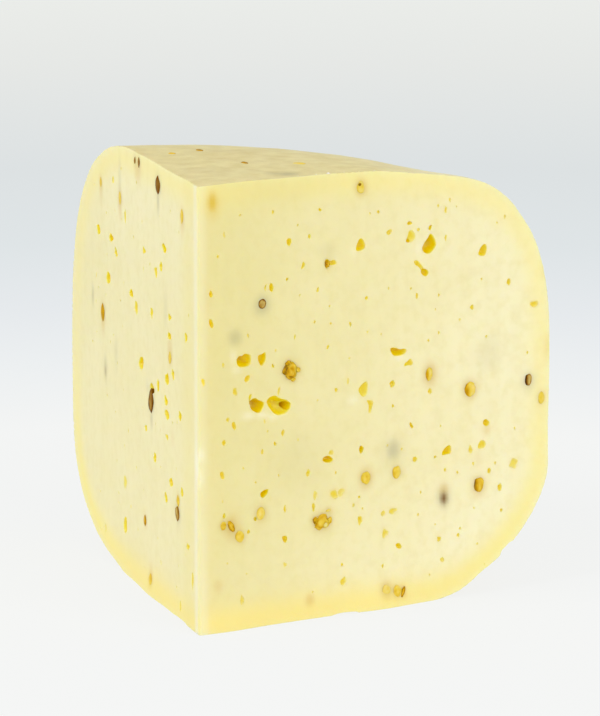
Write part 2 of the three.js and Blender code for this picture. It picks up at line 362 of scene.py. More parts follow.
def makePaste(name, eyeWall):
    material, tree = newMaterial(name)
    place = addNode(tree, "ShaderNodeTexCoord").outputs["Object"]
    # knife marks run up and down; the grain is of curds pressed together
    upright = addNode(tree, "ShaderNodeMapping", {"Scale": (1, 1, 0.03)}, {"Vector": place}).outputs[0]

    def patches(size, detail, where):
        settings = {"Scale": perSize(size), "Detail": detail}
        return addNode(tree, "ShaderNodeTexNoise", settings, {"Vector": where}).outputs["Fac"]

    if eyeWall:
        # painted light and shade, by how deep the wall lies
        colour = colourRamp(tree, pointValue(tree, "eyeDepth"), paste["eyeDepths"])
    else:
        # paler in cloudy patches and where the zones say; on the right cut the paling towards the rim
        # is a painted sheen
        palenessAndSheen = addNode(
            tree,
            "ShaderNodeMath",
            {"operation": "MULTIPLY_ADD", 1: 0.5},
            {0: patches(paste["cloudSize"], 3.0, place), 2: pointValue(tree, "palenessAndSheen")},
        )
        colour = blend(tree, palenessAndSheen.outputs[0], hexColour(paste["core"]), hexColour(paste["pale"]))
        for size, where, most in (("streakSize", upright, 0.13), ("mottleSize", place, 0.3)):
            darker = addNode(
                tree,
                "ShaderNodeMapRange",
                {"From Min": 0.45, "From Max": 0.75, "To Max": most},
                {"Value": patches(paste[size], 3.0, where)},
            )
            colour = blend(tree, darker.outputs[0], colour, hexColour(paste["streak"]))
        for zone in (*cutZones, "mouthGlow", *stainsAndHighlights):
            colour = blend(tree, pointValue(tree, zone), colour, hexColour(paste[zone]))

    marksBump = addNode(
        tree,
        "ShaderNodeBump",
        {"Strength": 0.25, "Distance": 0.0001},
        {"Height": patches(paste["knifeMarkSize"], 2.0, upright)},
    )
    curdBump = addNode(
        tree,
        "ShaderNodeBump",
        {"Strength": 0.3, "Distance": 0.00012},
        {"Height": patches(paste["curdSize"], 3.0, place), "Normal": marksBump.outputs["Normal"]},
    )
    shader = addNode(
        tree,
        "ShaderNodeBsdfPrincipled",
        {
            "Roughness": 0.35 if eyeWall else 0.48,
            "Subsurface Weight": 1.0 if eyeWall else 0.5,
            "Subsurface Radius": (1.0, 0.95, 0.25) if eyeWall else (1.0, 0.8, 0.3),
            "Subsurface Scale": 0.004 if eyeWall else 0.003,
            "IOR": 1.45,
        },
        {"Base Color": colour, "Normal": curdBump.outputs["Normal"]},
    )
    addNode(tree, "ShaderNodeOutputMaterial", {}, {"Surface": shader.outputs["BSDF"]})
    return material


# The wheel dried in the air: a thin, dull, honey-coloured skin, blotched, with the spots of seeds
# that lie just under it and the fine creases of the cloth it was pressed in.
skin = {
    "pale": "#EDDE9E",
    "honey": "#D9C57D",
    "blotch": "#C9AC68",
    # a painted highlight where the skin turns down to the rim
    "shoulderLight": "#F3E9B6",
    "smear": "#8E8460",
    "blotchSize": 26,
    "mottleSize": 4,
    "creaseSize": 0.9,
    "lightReach": 14,
    "farLightReach": 36,
    "smears": [(22.3, 12.4, 2.2, 2.4, 0.5), (21.5, 9.8, 2.2, 2, 0.3), (20.5, 16.5, 2.6, 1.4, 0.15)],
}


def makeSkin():
    material, tree = newMaterial("driedCheeseSkin")
    place = addNode(tree, "ShaderNodeTexCoord").outputs["Object"]
    noises = [
        addNode(
            tree,
            "ShaderNodeTexNoise",
            {"Scale": perSize(skin[size]), "Detail": detail},
            {"Vector": place},
        )
        for size, detail in (("mottleSize", 5.0), ("blotchSize", 3.0), ("creaseSize", 3.0))
    ]
    mottle, blotch, crease = (node.outputs["Fac"] for node in noises)
    blotches = addNode(
        tree, "ShaderNodeMapRange", {"From Min": 0.5, "From Max": 0.8, "To Max": 0.6}, {"Value": blotch}
    )
    paler = addNode(tree, "ShaderNodeMapRange", {"From Min": 0.22, "From Max": 0.78}, {"Value": mottle})
    colour = blend(tree, paler.outputs[0], hexColour(skin["honey"]), hexColour(skin["pale"]))
    colour = blend(tree, blotches.outputs[0], colour, hexColour(skin["blotch"]))
    for zone in ("shoulderLight", "smear"):
        colour = blend(tree, pointValue(tree, zone), colour, hexColour(skin[zone]))
    mottleBump = addNode(
        tree, "ShaderNodeBump", {"Strength": 0.3, "Distance": 0.0003}, {"Height": mottle}
    )
    creaseBump = addNode(
        tree,
        "ShaderNodeBump",
        {"Strength": 0.4, "Distance": 0.00015},
        {"Height": crease, "Normal": mottleBump.outputs["Normal"]},
    )
    shader = addNode(
        tree,
        "ShaderNodeBsdfPrincipled",
        {
            "Roughness": 0.5,
            "Subsurface Weight": 0.3,
            "Subsurface Radius": (1.0, 0.7, 0.3),
            "Subsurface Scale": 0.002,
        },
        {"Base Color": colour, "Normal": creaseBump.outputs["Normal"]},
    )
    addNode(tree, "ShaderNodeOutputMaterial", {}, {"Surface": shader.outputs["BSDF"]})
    return material


slotMaterials = [makePaste("cheesePaste", False), makeSkin(), makePaste("eyeWall", True)]


def shareOfWay(x, y):
    # how far round the wheel's axis a place is: 0 at the right cut, 1 at the left cut
    fromMiddle = math.atan2(y, x) - math.pi / 2
    return min(1.0, max(0.0, 0.5 + fromMiddle / (2 * halfAngle)))


def wheelOutline(share, count):
    # radius and height of evenly spaced points, from the middle of the base to that of the top
    footShare = min(1.0, share / wheel["footTurned"]) ** wheel["footTurn"]
    foot = [a + (b - a) * footShare for a, b in zip(wheel["footAtRight"], wheel["footAtLeft"])]
    ends = zip(wheel["shoulderAtRight"], wheel["shoulderAtLeft"])
    shoulder = [a + (b - a) * share for a, b in ends]
    turn = np.linspace(0, math.pi / 2, wheel["cornerPoints"])

    def corner(wide, tall, power):
        out = wheel["radius"] - wide * (1 - np.sin(turn) ** (2 / power))
        return out, tall * (1 - np.cos(turn) ** (2 / power))

    footOut, footUp = corner(*foot)
    shoulderOut, shoulderDown = corner(*shoulder)
    bulge = math.sin(math.pi * share) - math.sin(2 * math.pi * share)
    out = np.concatenate([[0], footOut, shoulderOut[::-1], [0]])
    out *= 1 + bulge * wheel["outOfRound"] / wheel["radius"]
    up = np.concatenate([[0], footUp, wheel["height"] - shoulderDown[::-1], [wheel["height"]]])
    way = np.concatenate([[0], np.cumsum(np.hypot(np.diff(out), np.diff(up)))])
    even = np.linspace(0, way[-1], count)
    return np.interp(even, way, out), np.interp(even, way, up)


def wholeWheel():
    # a grid rolled round the wheel's axis, each column on its own outline
    columns, rows = wheel["meridians"], wheel["outlinePoints"]
    outlines = []
    for column in range(columns):
        direction = 2 * math.pi * column / columns
        share = shareOfWay(math.cos(direction), math.sin(direction))
        outlines.append((direction, *wheelOutline(share, rows + 1)))
    bm = bmesh.new()
    bmesh.ops.create_grid(bm, x_segments=columns, y_segments=rows, size=1)
    for vert in bm.verts:
        column = round((vert.co.x + 1) / 2 * columns) % columns
        row = round((vert.co.y + 1) / 2 * rows)
        direction, out, up = outlines[column]
        vert.co = (out[row] * math.cos(direction), out[row] * math.sin(direction), up[row])
    bmesh.ops.remove_doubles(bm, verts=bm.verts, dist=1e-4)
    bmesh.ops.recalc_face_normals(bm, faces=bm.faces)
    bm.normal_update()
    axis = Vector((*wheel["axis"], 0))
    pushes = [
        (placeOnCut(side, along, up, -behind).translation - axis, reach, out)
        for side, along, up, behind, reach, out in nudges
    ]
    for vert in bm.verts:
        # slow swells of a wheel turned by hand, and the fine grain of its dried skin
        swell = noise.noise(vert.co / wheel["swellSize"]) * wheel["swell"]
        swell += noise.noise(vert.co / wheel["rippleSize"]) * wheel["ripple"]
        for middle, reach, out in pushes:
            swell += out * math.exp(-(((vert.co - middle).length / reach) ** 2))
        grain = noise.noise(vert.co / wheel["grainSize"]) * wheel["grain"]
        if vert.co.z > 0.01:
            vert.co += vert.normal * (swell + grain)
            vert.co.z = max(vert.co.z, 0.0)
    bmesh.ops.translate(bm, verts=bm.verts, vec=(*wheel["axis"], 0))
    for face in bm.faces:
        face.material_index = skinSlot
    return helperObject(bm, "wheel")


def knifeShape():
    # what both cuts leave: a tall prism whose two long walls are fine grids
    tangent = math.tan(halfAngle)
    back = cut["facet"] / 2 / tangent
    far = cut["reach"] * math.cos(halfAngle)
    tall = wheel["height"] + 2 * cut["margin"]
    bm = bmesh.new()
    for vert in bmesh.ops.create_cube(bm, size=2)["verts"]:
        y, halfWide = (back, cut["facet"] / 2) if vert.co.y < 0 else (far, far * tangent)
        z = (vert.co.z + 1) / 2 * tall - cut["margin"]
        vert.co = (pointX + vert.co.x * halfWide, pointY + y, z)

    level = [e for e in bm.edges if abs(e.verts[0].co.z - e.verts[1].co.z) < 1]
    cutEdges = [e for e in level if abs(e.verts[0].co.y - e.verts[1].co.y) > 1]
    facetEdges = [e for e in level if e.calc_length() < 2 * cut["facet"]]
    bmesh.ops.subdivide_edges(bm, edges=cutEdges, cuts=round(cut["reach"] / cut["grid"]))
    bmesh.ops.subdivide_edges(bm, edges=facetEdges, cuts=2)
    upright = [e for e in bm.edges if abs(e.verts[0].co.z - e.verts[1].co.z) > 1]
    bmesh.ops.subdivide_edges(bm, edges=upright, cuts=round(tall / cut["grid"]))
    bmesh.ops.recalc_face_normals(bm, faces=bm.faces)
    for vert in bm.verts:
        fromEdge = vert.co - Vector((pointX, pointY, 0))
        for side in (right, left):
            if abs(fromEdge.dot(outOfCut(side))) < 0.01:
                vert.co += outOfCut(side) * cutWave(side, fromEdge.dot(alongCut(side)), vert.co.z)
    for face in bm.faces:
        face.material_index = pasteSlot
    return helperObject(bm, "knife")


def softenEdges(mesh, sharpest, rounds):
    # a knife leaves edges that crumble and round over by a fraction of a millimetre
    bm = bmesh.new()
    bm.from_mesh(mesh)
    sharp = set()
    for edge in bm.edges:
        if len(edge.link_faces) == 2 and edge.calc_face_angle(0) > math.radians(sharpest):
            sharp.update(edge.verts)
    near = {edge.other_vert(vert) for vert in sharp for edge in vert.link_edges} | sharp
    for _ in range(rounds):
        bmesh.ops.smooth_vert(
            bm, verts=list(near), factor=0.5, use_axis_x=True, use_axis_y=True, use_axis_z=True
        )
    bm.to_mesh(mesh)
    bm.free()


def dentShapes():
    # uneven lumps that are cut away: a dent in the rim, and chips out of the edges
    shapes = bmesh.new()
    tall = (edgeChip["wide"], edgeChip["deep"], edgeChip["high"])
    edgePlace = Matrix.Translation((pointX, pointY, edgeChip["height"]))
    lumps = [(tall, edgePlace)]
    for side, along, height, wide, high, deep, sunk in dents:
        lumps.append(((wide, high, deep), placeOnCut(side, along, height, -sunk)))
    for size, place in lumps:
        made = bmesh.ops.create_icosphere(shapes, subdivisions=4, radius=0.5)["verts"]
        for vert in made:
            vert.co *= 1 + noise.noise(vert.co * 3 + place.translation) * 0.25
        bmesh.ops.transform(shapes, matrix=place @ Matrix.Diagonal((*size, 1)), verts=made)
    for face in shapes.faces:
        face.material_index = pasteSlot
        face.smooth = True
    return helperObject(shapes, "dents")


body = wholeWheel()
print("wheel made")
cutWith(body, knifeShape(), "INTERSECT")
cutWith(body, dentShapes(), "DIFFERENCE")
softenEdges(body.data, 25, 1)
print("wedge cut,", len(body.data.polygons), "faces")


# Openings in the right cut whose outline counts: along, height, depth, and the mouth's corners
# seen from outside. A deep one may stand in a shallow one.
drawnEyes = [
    (59.4, 81.6, 2.2, [(0.3, 2.5), (1.2, 1.3), (1.8, -0.3), (0.8, -1.4), (-0.3, -2.1), (-1.8, -1.2),
     (-1.6, 0), (-0.4, 1.3)]),
    (59.6, 85.4, 0.8, [(0.2, 0.6), (0.5, 0.3), (0.1, -0.7), (-0.4, -0.5), (-0.4, 0.3)]),
    (41.5, 83.1, 1.3, [(0, 1.7), (0.8, 1), (1.2, -0.4), (0.6, -0.9), (-0.5, -1.2), (-1.3, -0.9),
     (-0.8, 0.8)]),
    (23.1, 85.7, 0.8, [(-0.1, 0.9), (0.6, 0.6), (0.6, -0.3), (0.1, -1), (-0.5, -0.6), (-0.7, 0.5)]),
    (18.6, 76, 0.9, [(-0.2, 1.1), (0.4, 0.7), (0.6, -0.4), (0.2, -1), (-0.4, -0.6), (-0.6, 0.2)]),
    (17.2, 76.3, 0.3, [(0.6, 0.6), (0.1, 0.4), (0.1, -0.3), (-0.2, -0.9), (-0.5, -0.4), (-0.2, 0.5)]),
    (26.7, 80.1, 0.6, [(0, 1.1), (0.6, 0.2), (0.2, -0.5), (-0.6, -0.9), (-0.3, 0.1)]),
    (3.3, 76, 0.8, [(0, 1.1), (0.6, -0.1), (0.2, -0.7), (-0.3, -0.5), (-0.5, 0.3)]),
    (3.4, 69.5, 0.8, [(-0.7, 1.1), (0.2, 1), (0.7, -0.5), (0.3, -1.1), (-0.4, -0.5)]),
    (33.6, 79.9, 0.8, [(-1.3, 0.9), (-0.5, 1), (0, 0.3), (0.9, 0.8), (1.8, -0.1), (1.1, -0.5),
     (-0.2, -0.3), (-0.6, -1.2), (-1.2, -0.8)]),
    (73.6, 78.9, 1.2, [(0.4, 1.4), (1, 0.9), (0.9, -0.3), (0.5, -1.3), (-1, -1.1), (-1.2, -0.4),
     (-0.6, 0.7)]),
    (58.3, 75.4, 1.1, [(-0.5, 1), (0.6, 0.5), (1, -0.2), (0.5, -0.9), (-0.5, -0.7), (-1.2, 0.3)]),
    (56.7, 77.1, 0.5, [(-1.3, 1.2), (-0.3, 1.2), (0.8, -0.1), (1.5, -0.9), (0.5, -1.3), (-0.1, -0.2),
     (-1.1, 0.2)]),
    (54.4, 83.9, 0.45, [(-0.4, 1.4), (0.5, 1.4), (1.4, 0), (0.7, -1.2), (-0.4, -1.3), (-1.1, -0.6),
     (-0.6, 0.3)]),
    (54, 83.2, 1, [(-0.5, 0.4), (0.3, 0.1), (0.5, -0.5), (-0.3, -0.6), (-0.8, -0.2)]),
    (54.1, 86.9, 0.6, [(-0.6, 0.3), (0.2, 0.5), (0.9, -0.1), (0.2, -0.4), (-0.5, -0.3)]),
    (48.8, 85.4, 0.45, [(-0.7, 0.3), (0.6, 0.7), (0.8, 0.1), (0, -0.8), (-0.7, -0.3)]),
    (11.6, 60.4, 2.4, [(0.1, 1.5), (1.5, 1.2), (1.75, 0.2), (1.5, -1), (0.9, -1.3), (-0.9, -1.3),
     (-1.6, -0.7), (-1.8, 0.5), (-1.1, 1.2), (-0.5, 0.9)]),
    (16.2, 60.4, 1.4, [(-1, 0.9), (0, 0.9), (0.8, 1.4), (1, 0.4), (0.8, -0.7), (0.1, -1.6),
     (-0.6, -1.2), (-1, -0.1)]),
    (12.4, 56.3, 0.7, [(0.6, 0.9), (0.7, 0), (0, -0.9), (-0.7, -0.5), (-0.6, 0.5)]),
    (14.8, 50.1, 2.5, [(-1.4, 1.4), (-0.2, 1.6), (0.6, 0.9), (2, 0.4), (1.5, -0.8), (0.8, -1.7),
     (-0.3, -1.5), (-1.4, -0.6), (-1.6, 0.4)]),
    (13.2, 51.7, 0.5, [(-0.4, 1.2), (0.5, 1.1), (0.2, 0.1), (0.1, -1.3), (-0.4, -1.2)]),
    (20.3, 49.6, 1.9, [(-3, 0.8), (-2.1, 1.9), (-0.6, 2.1), (0.4, 1.2), (2.8, 0.7), (2.7, -1.4),
     (1.6, -2.1), (-0.3, -2.2), (-1.5, -1.2)]),
    (22.6, 49.1, 3.2, [(-0.9, 0.5), (0, 0.9), (0.9, 0.6), (0.8, -0.6), (0, -1.1), (-0.8, -0.4)]),
    (20.5, 52.7, 0.3, [(-0.1, 1), (0.5, 0.9), (0.1, -1), (-0.5, -0.9)]),
    (23.6, 56.9, 0.6, [(-1, 2), (0.6, 1.9), (1.2, 0.8), (2.4, 0.2), (1.5, -0.4), (1.2, -1.5),
     (0.2, -1.7), (-0.4, -0.7), (-1.3, -0.9), (-2.4, -0.3), (-1.9, 0.6)]),
    (42.4, 50.7, 0.6, [(0.8, 1.9), (1, 0.6), (0.8, -1.2), (-0.2, -2), (-1.6, -0.1), (-0.8, 0.8)]),
    (44, 46.7, 0.5, [(-1.1, 1.5), (0.8, 1.1), (0.8, 0.2), (0.2, -1.6), (-0.5, -1.5), (-0.2, 0.3)]),
    (33, 35.8, 1.5, [(-0.8, 0.7), (0.4, 0.9), (1.6, -0.2), (0.7, -0.8), (-0.7, -0.6), (-1.3, 0.1)]),
    (33.9, 37.2, 0.3, [(-0.4, 0.7), (0.5, 0.6), (0.7, -0.4), (-0.1, -0.5), (-0.7, -0.3)]),
    (41.8, 37, 1.2, [(-0.2, 1.1), (0.7, 0.3), (0.4, -0.5), (-0.2, -1), (-0.7, 0.1)]),
    (9.1, 46.1, 0.6, [(-0.6, 1), (0.3, 0.9), (0.6, -0.4), (0.2, -1), (-0.5, -0.4)]),
    (51.3, 58.3, 1.6, [(-2.1, 0.9), (-0.8, 0.9), (0.4, 0.3), (1.9, 0.4), (2.2, -0.4), (1.1, -1),
     (-1, -1), (-1.6, -0.2)]),
    (54.1, 55.3, 0.7, [(0.4, 1.1), (1.2, 0.1), (0.9, -0.7), (-0.3, -0.4), (-1.1, -0.7), (-1, 0.1),
     (-0.2, 0.4)]),
    (54.9, 41, 0.8, [(-0.5, 0.8), (0.1, 0.6), (0.6, -0.6), (0.1, -0.7), (-0.4, -0.1)]),
    (74.8, 39.3, 1.0, [(-0.4, 1.1), (0.9, 0.2), (0.7, -0.5), (-0.1, -0.9), (-1.1, 0.1)]),
    (64.3, 34.1, 1.3, [(-1.1, 0.3), (0.5, 1.3), (1.1, 0.8), (1, -0.8), (-0.1, -0.7), (-1.3, -1)]),
    (73.7, 34.5, 0.45, [(-1.3, -0.7), (-0.7, 0.6), (0, 1.1), (0.9, 0.5), (0.9, -0.5), (0.1, -1)]),
    (16.7, 30.1, 1.6, [(-1, 0.3), (0.1, 0.7), (1.1, 0.9), (0.9, -0.1), (-0.2, -1.1), (-0.8, -0.7)]),
    (22, 19.1, 0.9, [(-0.8, 0.7), (0.5, 0.7), (0.7, -0.2), (0.2, -1), (-0.6, -0.2)]),
    (6, 35.4, 0.6, [(-0.5, 0.9), (0.5, 0.8), (0.6, -0.9), (-0.1, -0.9), (-0.5, 0.1)]),
    (51.6, 13.8, 0.8, [(-0.8, 0.5), (0.2, 0.8), (1, -0.5), (0.2, -0.7), (-0.6, -0.2)]),
]

# The rest are rounded: along, height, wide, high, depth.
roundEyes = {
    right: [
        (56.5, 85.2, 0.9, 1, 0.4), (49.8, 51, 1.5, 1.5, 0.7), (34.6, 27.8, 2, 2.2, 0.35),
        (36.6, 28, 1.7, 1.8, 0.2), (50.1, 22, 2, 1.5, 0.3), (48.1, 17.2, 1.6, 2, 0.3),
        (78.5, 24.2, 1.1, 1.6, 0.5), (37.1, 7.6, 1.5, 1.8, 0.4), (11, 6.7, 1.1, 2.4, 0.28),
        (80.5, 71, 0.9, 1.4, 0.9), (87.3, 65.3, 2.1, 1.4, 0.35), (70.7, 66.2, 1, 1.1, 0.8),
        (21.5, 43.1, 0.8, 1.4, 0.8), (28, 33.4, 0.9, 1.8, 0.4), (29.4, 25.2, 0.85, 1.9, 0.6),
        (22, 25.9, 0.65, 1.9, 0.5), (41.5, 21, 1, 2.1, 0.5), (62.3, 14.1, 1, 1.2, 0.5),
        (55.8, 33.1, 1.2, 1.3, 0.5), (63.7, 82.6, 0.6, 1.4, 0.5), (63.7, 89, 0.7, 1.6, 0.35),
        (82.1, 29.1, 2.1, 2.3, 0.25), (14.4, 24.6, 0.9, 1, 0.6), (12.7, 21.9, 0.8, 0.9, 0.5),
        (6.5, 26.3, 0.9, 1.2, 0.6), (41.2, 26.3, 0.6, 0.6, 0.6), (36.8, 11.4, 0.6, 0.8, 0.8),
        (50, 46, 0.7, 0.8, 0.5), (59.7, 48.3, 1.1, 1.5, 0.4), (7.5, 47.7, 0.8, 1, 0.4),
        (6.5, 42.6, 0.9, 1.2, 0.5), (19.5, 40.9, 0.7, 1.1, 0.8), (16.2, 39.5, 0.6, 1.2, 0.5),
        (1.3, 56.8, 0.9, 1.8, 0.4), (9.3, 53.7, 1.2, 1.7, 0.35), (19, 58.5, 0.7, 0.9, 0.5),
        (35.2, 51.3, 0.8, 1.1, 0.5), (38.3, 53, 0.5, 1.7, 0.4), (33.1, 61.2, 0.7, 1, 0.5),
        (43, 71.2, 0.7, 0.8, 0.5), (38.8, 65.8, 0.6, 1.2, 0.5), (29.7, 67.2, 0.6, 0.8, 0.5),
        (24.6, 64.4, 0.6, 1.2, 0.4), (30.5, 74.3, 0.7, 1.3, 0.4), (28.3, 86.5, 0.7, 1.1, 0.6),
        (19, 92.7, 0.6, 0.9, 0.7), (31, 92.1, 0.8, 0.8, 0.5), (22.6, 77.5, 0.8, 0.8, 0.4),
        (56.2, 70.3, 0.7, 1.4, 0.6), (62, 69.9, 0.5, 0.9, 0.6), (62, 61.3, 0.5, 0.9, 0.6),
        (46, 90.2, 0.7, 0.8, 0.4), (6.7, 88.9, 0.6, 1.4, 0.2), (61.1, 33.1, 0.7, 0.7, 0.6),
        (-1.1, 83.2, 0.9, 3.1, 0.5), (29.8, 28.1, 1, 2, 0.2), (22, 13.3, 0.9, 1.4, 0.2),
        (47.5, 21.7, 1, 1.6, 0.25), (70.6, 33.8, 1.1, 1.9, 0.3), (75.6, 28.2, 0.9, 1.4, 0.5),
        (67.1, 28.8, 0.6, 0.8, 0.4), (67.9, 15.8, 0.6, 0.7, 0.3), (67.4, 14.4, 0.7, 0.9, 0.4),
        (78.9, 18.8, 0.7, 0.9, 0.4), (63.2, 9.2, 1, 1.1, 0.3),
    ],
    left: [
        (80.5, 76.5, 3, 2.3, 1.2), (69.5, 76.4, 3.6, 2, 1.6), (65.5, 73.7, 2.4, 2.1, 1),
        (42.2, 78.5, 2.4, 1.6, 1), (26.1, 81.9, 3.4, 2.1, 1.4), (32.8, 75.1, 2.4, 2.5, 1),
        (28.6, 77.2, 2.4, 2, 0.9), (72.4, 66.8, 3.4, 2.9, 1.4), (53.1, 66.7, 3, 1.9, 1.2),
        (49.1, 64, 3, 2.8, 0.7), (22.4, 62.7, 2.8, 1.8, 1.1), (9.3, 65, 2, 2.2, 1),
        (45.2, 52.1, 3.8, 3, 1.5), (24.2, 52.7, 2.5, 3.4, 1.6), (19.4, 54.6, 2.1, 2.3, 1),
        (31.4, 49.9, 2.1, 3.1, 1.1), (25.4, 47.7, 2.8, 2.1, 1.1), (14, 46.3, 2.4, 2, 1.2),
        (24.3, 44.5, 3.5, 2.3, 1.3), (34.2, 32.6, 2.8, 2.3, 1), (21.4, 29.9, 2.8, 2.1, 1.1),
        (12.7, 29.4, 2.2, 2.3, 1), (25.5, 25.4, 2.4, 2.3, 1), (59.1, 21.9, 2.6, 3.2, 0.3),
        (36.4, 65.3, 2.1, 2.5, 0.8), (21.9, 67, 2.5, 1.6, 0.8), (41.4, 37.9, 2.1, 1.5, 0.7),
        (24.4, 39.5, 2.1, 1.3, 0.7), (8.2, 18.2, 2.4, 1.5, 0.6), (4.7, 11.2, 1.5, 4.0, 0.4),
        (14.2, 3.2, 1.6, 2.4, 0.35), (57.7, 83.5, 1.5, 2.9, 0.7), (67.6, 90.1, 1.5, 1.8, 0.6),
        (36, 48.2, 3.5, 2.4, 1), (15.9, 27, 2.5, 2, 0.8), (59.1, 11.3, 3, 4, 0.9),
        (75.8, 7, 1.6, 2.4, 0.2),
    ],
}

# Pinholes are strewn over both cuts. Their size is of the smallest, and that of the largest.
pinholes = {"count": 55, "wide": (0.35, 0.65), "tall": (1.0, 1.8), "seed": 12}

eye = {
    "cornerCuts": 2,
    "cornerGain": 1.08,
    "mouthRise": 0.3,
    "flare": 0.22,
    "rings": (0.05, 0.2, 0.45, 0.72, 0.9, 0.98),
    "fewRings": (0.1, 0.5, 0.9),
    "dish": 1.7,
    "cave": 2.8,
    "drift": (-0.3, 0.12),
    "uneven": 0.07,
    "roundUneven": 0.5,
    "shallow": 0.45,  # an eye less deep than this share of its width is a dish
    "small": 1.3,  # narrower eyes have fewer rings
    "drawnReach": 2.6,  # room for each drawn eye, and round a round one, when they are cut
    "clearance": 0.3,
}


def sinkMouth(part, mouth, depth, number):
    # takes a mouth inwards ring by ring to a rounded end that lies off to one side: a shallow eye
    # is a soft dish, and a deep one keeps its width until it turns in
    across = max(edge.calc_length() for edge in part.edges) * len(part.edges) / math.pi
    square = eye["dish"] if depth < eye["shallow"] * across else eye["cave"]
    shares = eye["rings"] if across > eye["small"] else eye["fewRings"]
    bmesh.ops.scale(part, verts=part.verts, vec=(1 + eye["flare"], 1 + eye["flare"], 1))
    bmesh.ops.translate(part, verts=part.verts, vec=(0, 0, eye["mouthRise"]))
    face = mouth
    down, wide = eye["mouthRise"], 1 + eye["flare"]
    for ringDown in shares:
        ringWide = (1 - ringDown**square) ** (1 / square)
        made = bmesh.ops.extrude_face_region(part, geom=[face])["geom"]
        if face != mouth:
            bmesh.ops.delete(part, geom=[face], context="FACES_ONLY")
        face = next(f for f in made if isinstance(f, bmesh.types.BMFace))
        step = down + ringDown * depth
        driftX, driftY = (share * step if down < 0 else 0 for share in eye["drift"])
        bmesh.ops.translate(part, verts=face.verts, vec=(driftX, driftY, -step))
        middle = face.calc_center_median()
        ringScale = (ringWide / wide, ringWide / wide, 1)
        bmesh.ops.scale(part, verts=face.verts, vec=ringScale, space=Matrix.Translation(-middle))
        down, wide = -ringDown * depth, ringWide
    for vert in part.verts:
        if vert.co.z < 0:
            vert.co += noise.noise_vector(vert.co * 0.9 + Vector((number * 3.7, 0, 0))) * eye["uneven"]
    bmesh.ops.recalc_face_normals(part, faces=part.faces)
    for face in part.faces:
        face.material_index = eyeSlot


def drawnEye(corners, depth, number):
    part = bmesh.new()
    mouth = part.faces.new([part.verts.new((x, y, 0)) for x, y in corners])
    bmesh.ops.subdivide_edges(part, edges=part.edges, cuts=eye["cornerCuts"])
    for _ in range(2):
        bmesh.ops.smooth_vert(
            part, verts=part.verts, factor=0.5, use_axis_x=True, use_axis_y=True, use_axis_z=False
        )
    bmesh.ops.scale(part, verts=part.verts, vec=(eye["cornerGain"], eye["cornerGain"], 1))
    sinkMouth(part, mouth, depth, number)
    return part


def roundEye(wide, high, depth, number):
    part = bmesh.new()
    depth = min(depth, 0.6 * wide)
    sides = 9 if wide * high < 1 else 20
    bmesh.ops.create_circle(part, cap_ends=True, radius=0.5, segments=sides)
    for vert in part.verts:
        bump = noise.noise(vert.co * 2 + Vector((0, 0, number * 5.3)))
        vert.co.xy *= 1 + bump * eye["roundUneven"]
    bmesh.ops.scale(part, verts=part.verts, vec=(wide, high, 1))
    sinkMouth(part, part.faces[:][0], depth, number)
    return part


def joinInto(bm, part, matrix):
    bmesh.ops.transform(part, matrix=matrix, verts=part.verts)
    mesh = bpy.data.meshes.new("part")
    part.to_mesh(mesh)
    part.free()
    bm.from_mesh(mesh)
    bpy.data.meshes.remove(mesh)


def strewnPinholes():
    # a pinhole is left out where it would touch anything else
    draw = random.Random(pinholes["seed"])
    strewn = {right: [], left: []}
    for side in (right, left):
        taken = [(a, h, max(w, t)) for a, h, w, t, _ in roundEyes[side]]
        taken += [(a, h, 4) for a, h, *_ in goldenOn[side] + darkOn[side]]
        taken += [(a, h, 4) for s, a, h, *_ in stainsAndHighlights["brownStain"] if s == side]
        if side == right:
            taken += [(a, h, 4) for a, h, *_ in drawnEyes]
        while len(strewn[side]) < pinholes["count"]:
            along, height = draw.uniform(3, 88), draw.uniform(5, 94)
            wide = draw.uniform(*pinholes["wide"])
            tall = wide * draw.uniform(*pinholes["tall"])
            if all(math.hypot(along - a, height - h) > size / 2 + 1.5 for a, h, size in taken):
                strewn[side].append((along, height, wide, tall, draw.uniform(0.3, 0.6) * wide))
                taken.append((along, height, 1))
    return strewn
